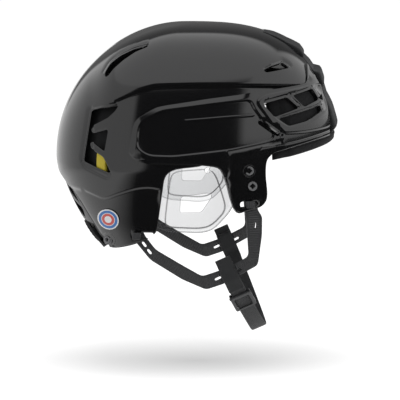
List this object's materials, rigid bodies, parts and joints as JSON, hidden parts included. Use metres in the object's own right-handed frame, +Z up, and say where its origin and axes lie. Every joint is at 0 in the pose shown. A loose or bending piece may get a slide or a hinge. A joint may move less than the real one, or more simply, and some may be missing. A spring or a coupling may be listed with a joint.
{
  "type": "ice hockey helmet",
  "caption": "Two-part ice hockey helmet with sliding size adjustment, foam liners, clear ear guards, occipital dial and chin strap.",
  "frame": {"origin": "middle of the head opening, level with the edge of the brow", "axes": "+X forwards, +Y to the wearer's left, +Z up"},
  "size_m": [0.2759, 0.2178, 0.3087],
  "materials": {
    "gloss_black": "high gloss moulded plastic",
    "matte_black": "fine matte texture",
    "foam_black": "closed-cell foam",
    "foam_yellow": "impact foam",
    "sweatband": "soft knit",
    "clear_sheet": "clear polycarbonate",
    "strap_black": "moulded strap",
    "webbing_black": "woven nylon",
    "screw_black": "black coated steel",
    "rack_grey": "nylon"
  },
  "bodies": {
    "rear": {"rear_shell": "gloss_black", "crown_liner": "foam_black", "rear_liner_left": "foam_black", "rear_liner_right": "foam_black", "impact_pod_left": "foam_yellow", "impact_pod_right": "foam_yellow", "nape_pad": "foam_black", "occipital_lattice": "matte_black", "occipital_housing": "matte_black", "housing_cover": "matte_black", "corner_screws": "screw_black"},
    "front": {"front_shell": "gloss_black", "center_insert": "matte_black", "brow_liner": "foam_black", "brow_sweatband": "sweatband", "temple_liner_left": "foam_black", "temple_liner_right": "foam_black", "ear_guard_left": "clear_sheet", "ear_guard_right": "clear_sheet", "ear_guard_rivets": "screw_black", "visor_nuts": "screw_black"},
    "dial": {"dial": "matte_black"},
    "rack_left": {"rack_left": "rack_grey"},
    "rack_right": {"rack_right": "rack_grey"},
    "strap_right": {"ear_loop_right": "strap_black"},
    "strap_left": {"ear_loop_left": "strap_black"},
    "chin": {"chin_webbing": "webbing_black"},
    "buckle": {"buckle": "matte_black"}
  },
  "joints": [
    {"name": "size_slide", "type": "slide", "parent": "rear", "child": "front", "axis": [1, 0, 0], "range_m": [0, 0.012]},
    {"name": "dial_turn", "type": "hinge", "parent": "rear", "child": "dial", "pos_m": [-0.09738, 0, -0.08743], "axis": [-0.8192, 0, -0.5736], "range_deg": [-110, 0]},
    {"name": "rack_left_slide", "type": "slide", "parent": "rear", "child": "rack_left", "axis": [0, 1, 0], "range_m": [0, 0.0116]},
    {"name": "rack_right_slide", "type": "slide", "parent": "rear", "child": "rack_right", "axis": [0, -1, 0], "range_m": [0, 0.0116]},
    {"name": "right_loop_swing", "type": "hinge", "parent": "front", "child": "strap_right", "pos_m": [0.05057, -0.0784, -0.04959], "axis": [0.9647, 0, 0.2633], "range_deg": [-7, 7]},
    {"name": "left_loop_swing", "type": "hinge", "parent": "front", "child": "strap_left", "pos_m": [0.05057, 0.0784, -0.04959], "axis": [0.9647, 0, 0.2633], "range_deg": [-7, 7]},
    {"name": "chin_swing", "type": "hinge", "parent": "strap_right", "child": "chin", "pos_m": [0.02798, -0.0784, -0.11201], "axis": [0.9647, 0, 0.2633], "range_deg": [-7, 7]},
    {"name": "buckle_slide", "type": "slide", "parent": "chin", "child": "buckle", "axis": [0.2928, 0.6943, -0.6575], "range_m": [-0.006, 0.008]}
  ],
  "couplings": [
    {"joint": "rack_left_slide", "follows": "dial_turn", "m_per_rad": -0.006},
    {"joint": "rack_right_slide", "follows": "dial_turn", "m_per_rad": -0.006},
    {"joint": "left_loop_swing", "follows": "right_loop_swing", "ratio": 1},
    {"joint": "chin_swing", "follows": "right_loop_swing", "ratio": -1}
  ]
}
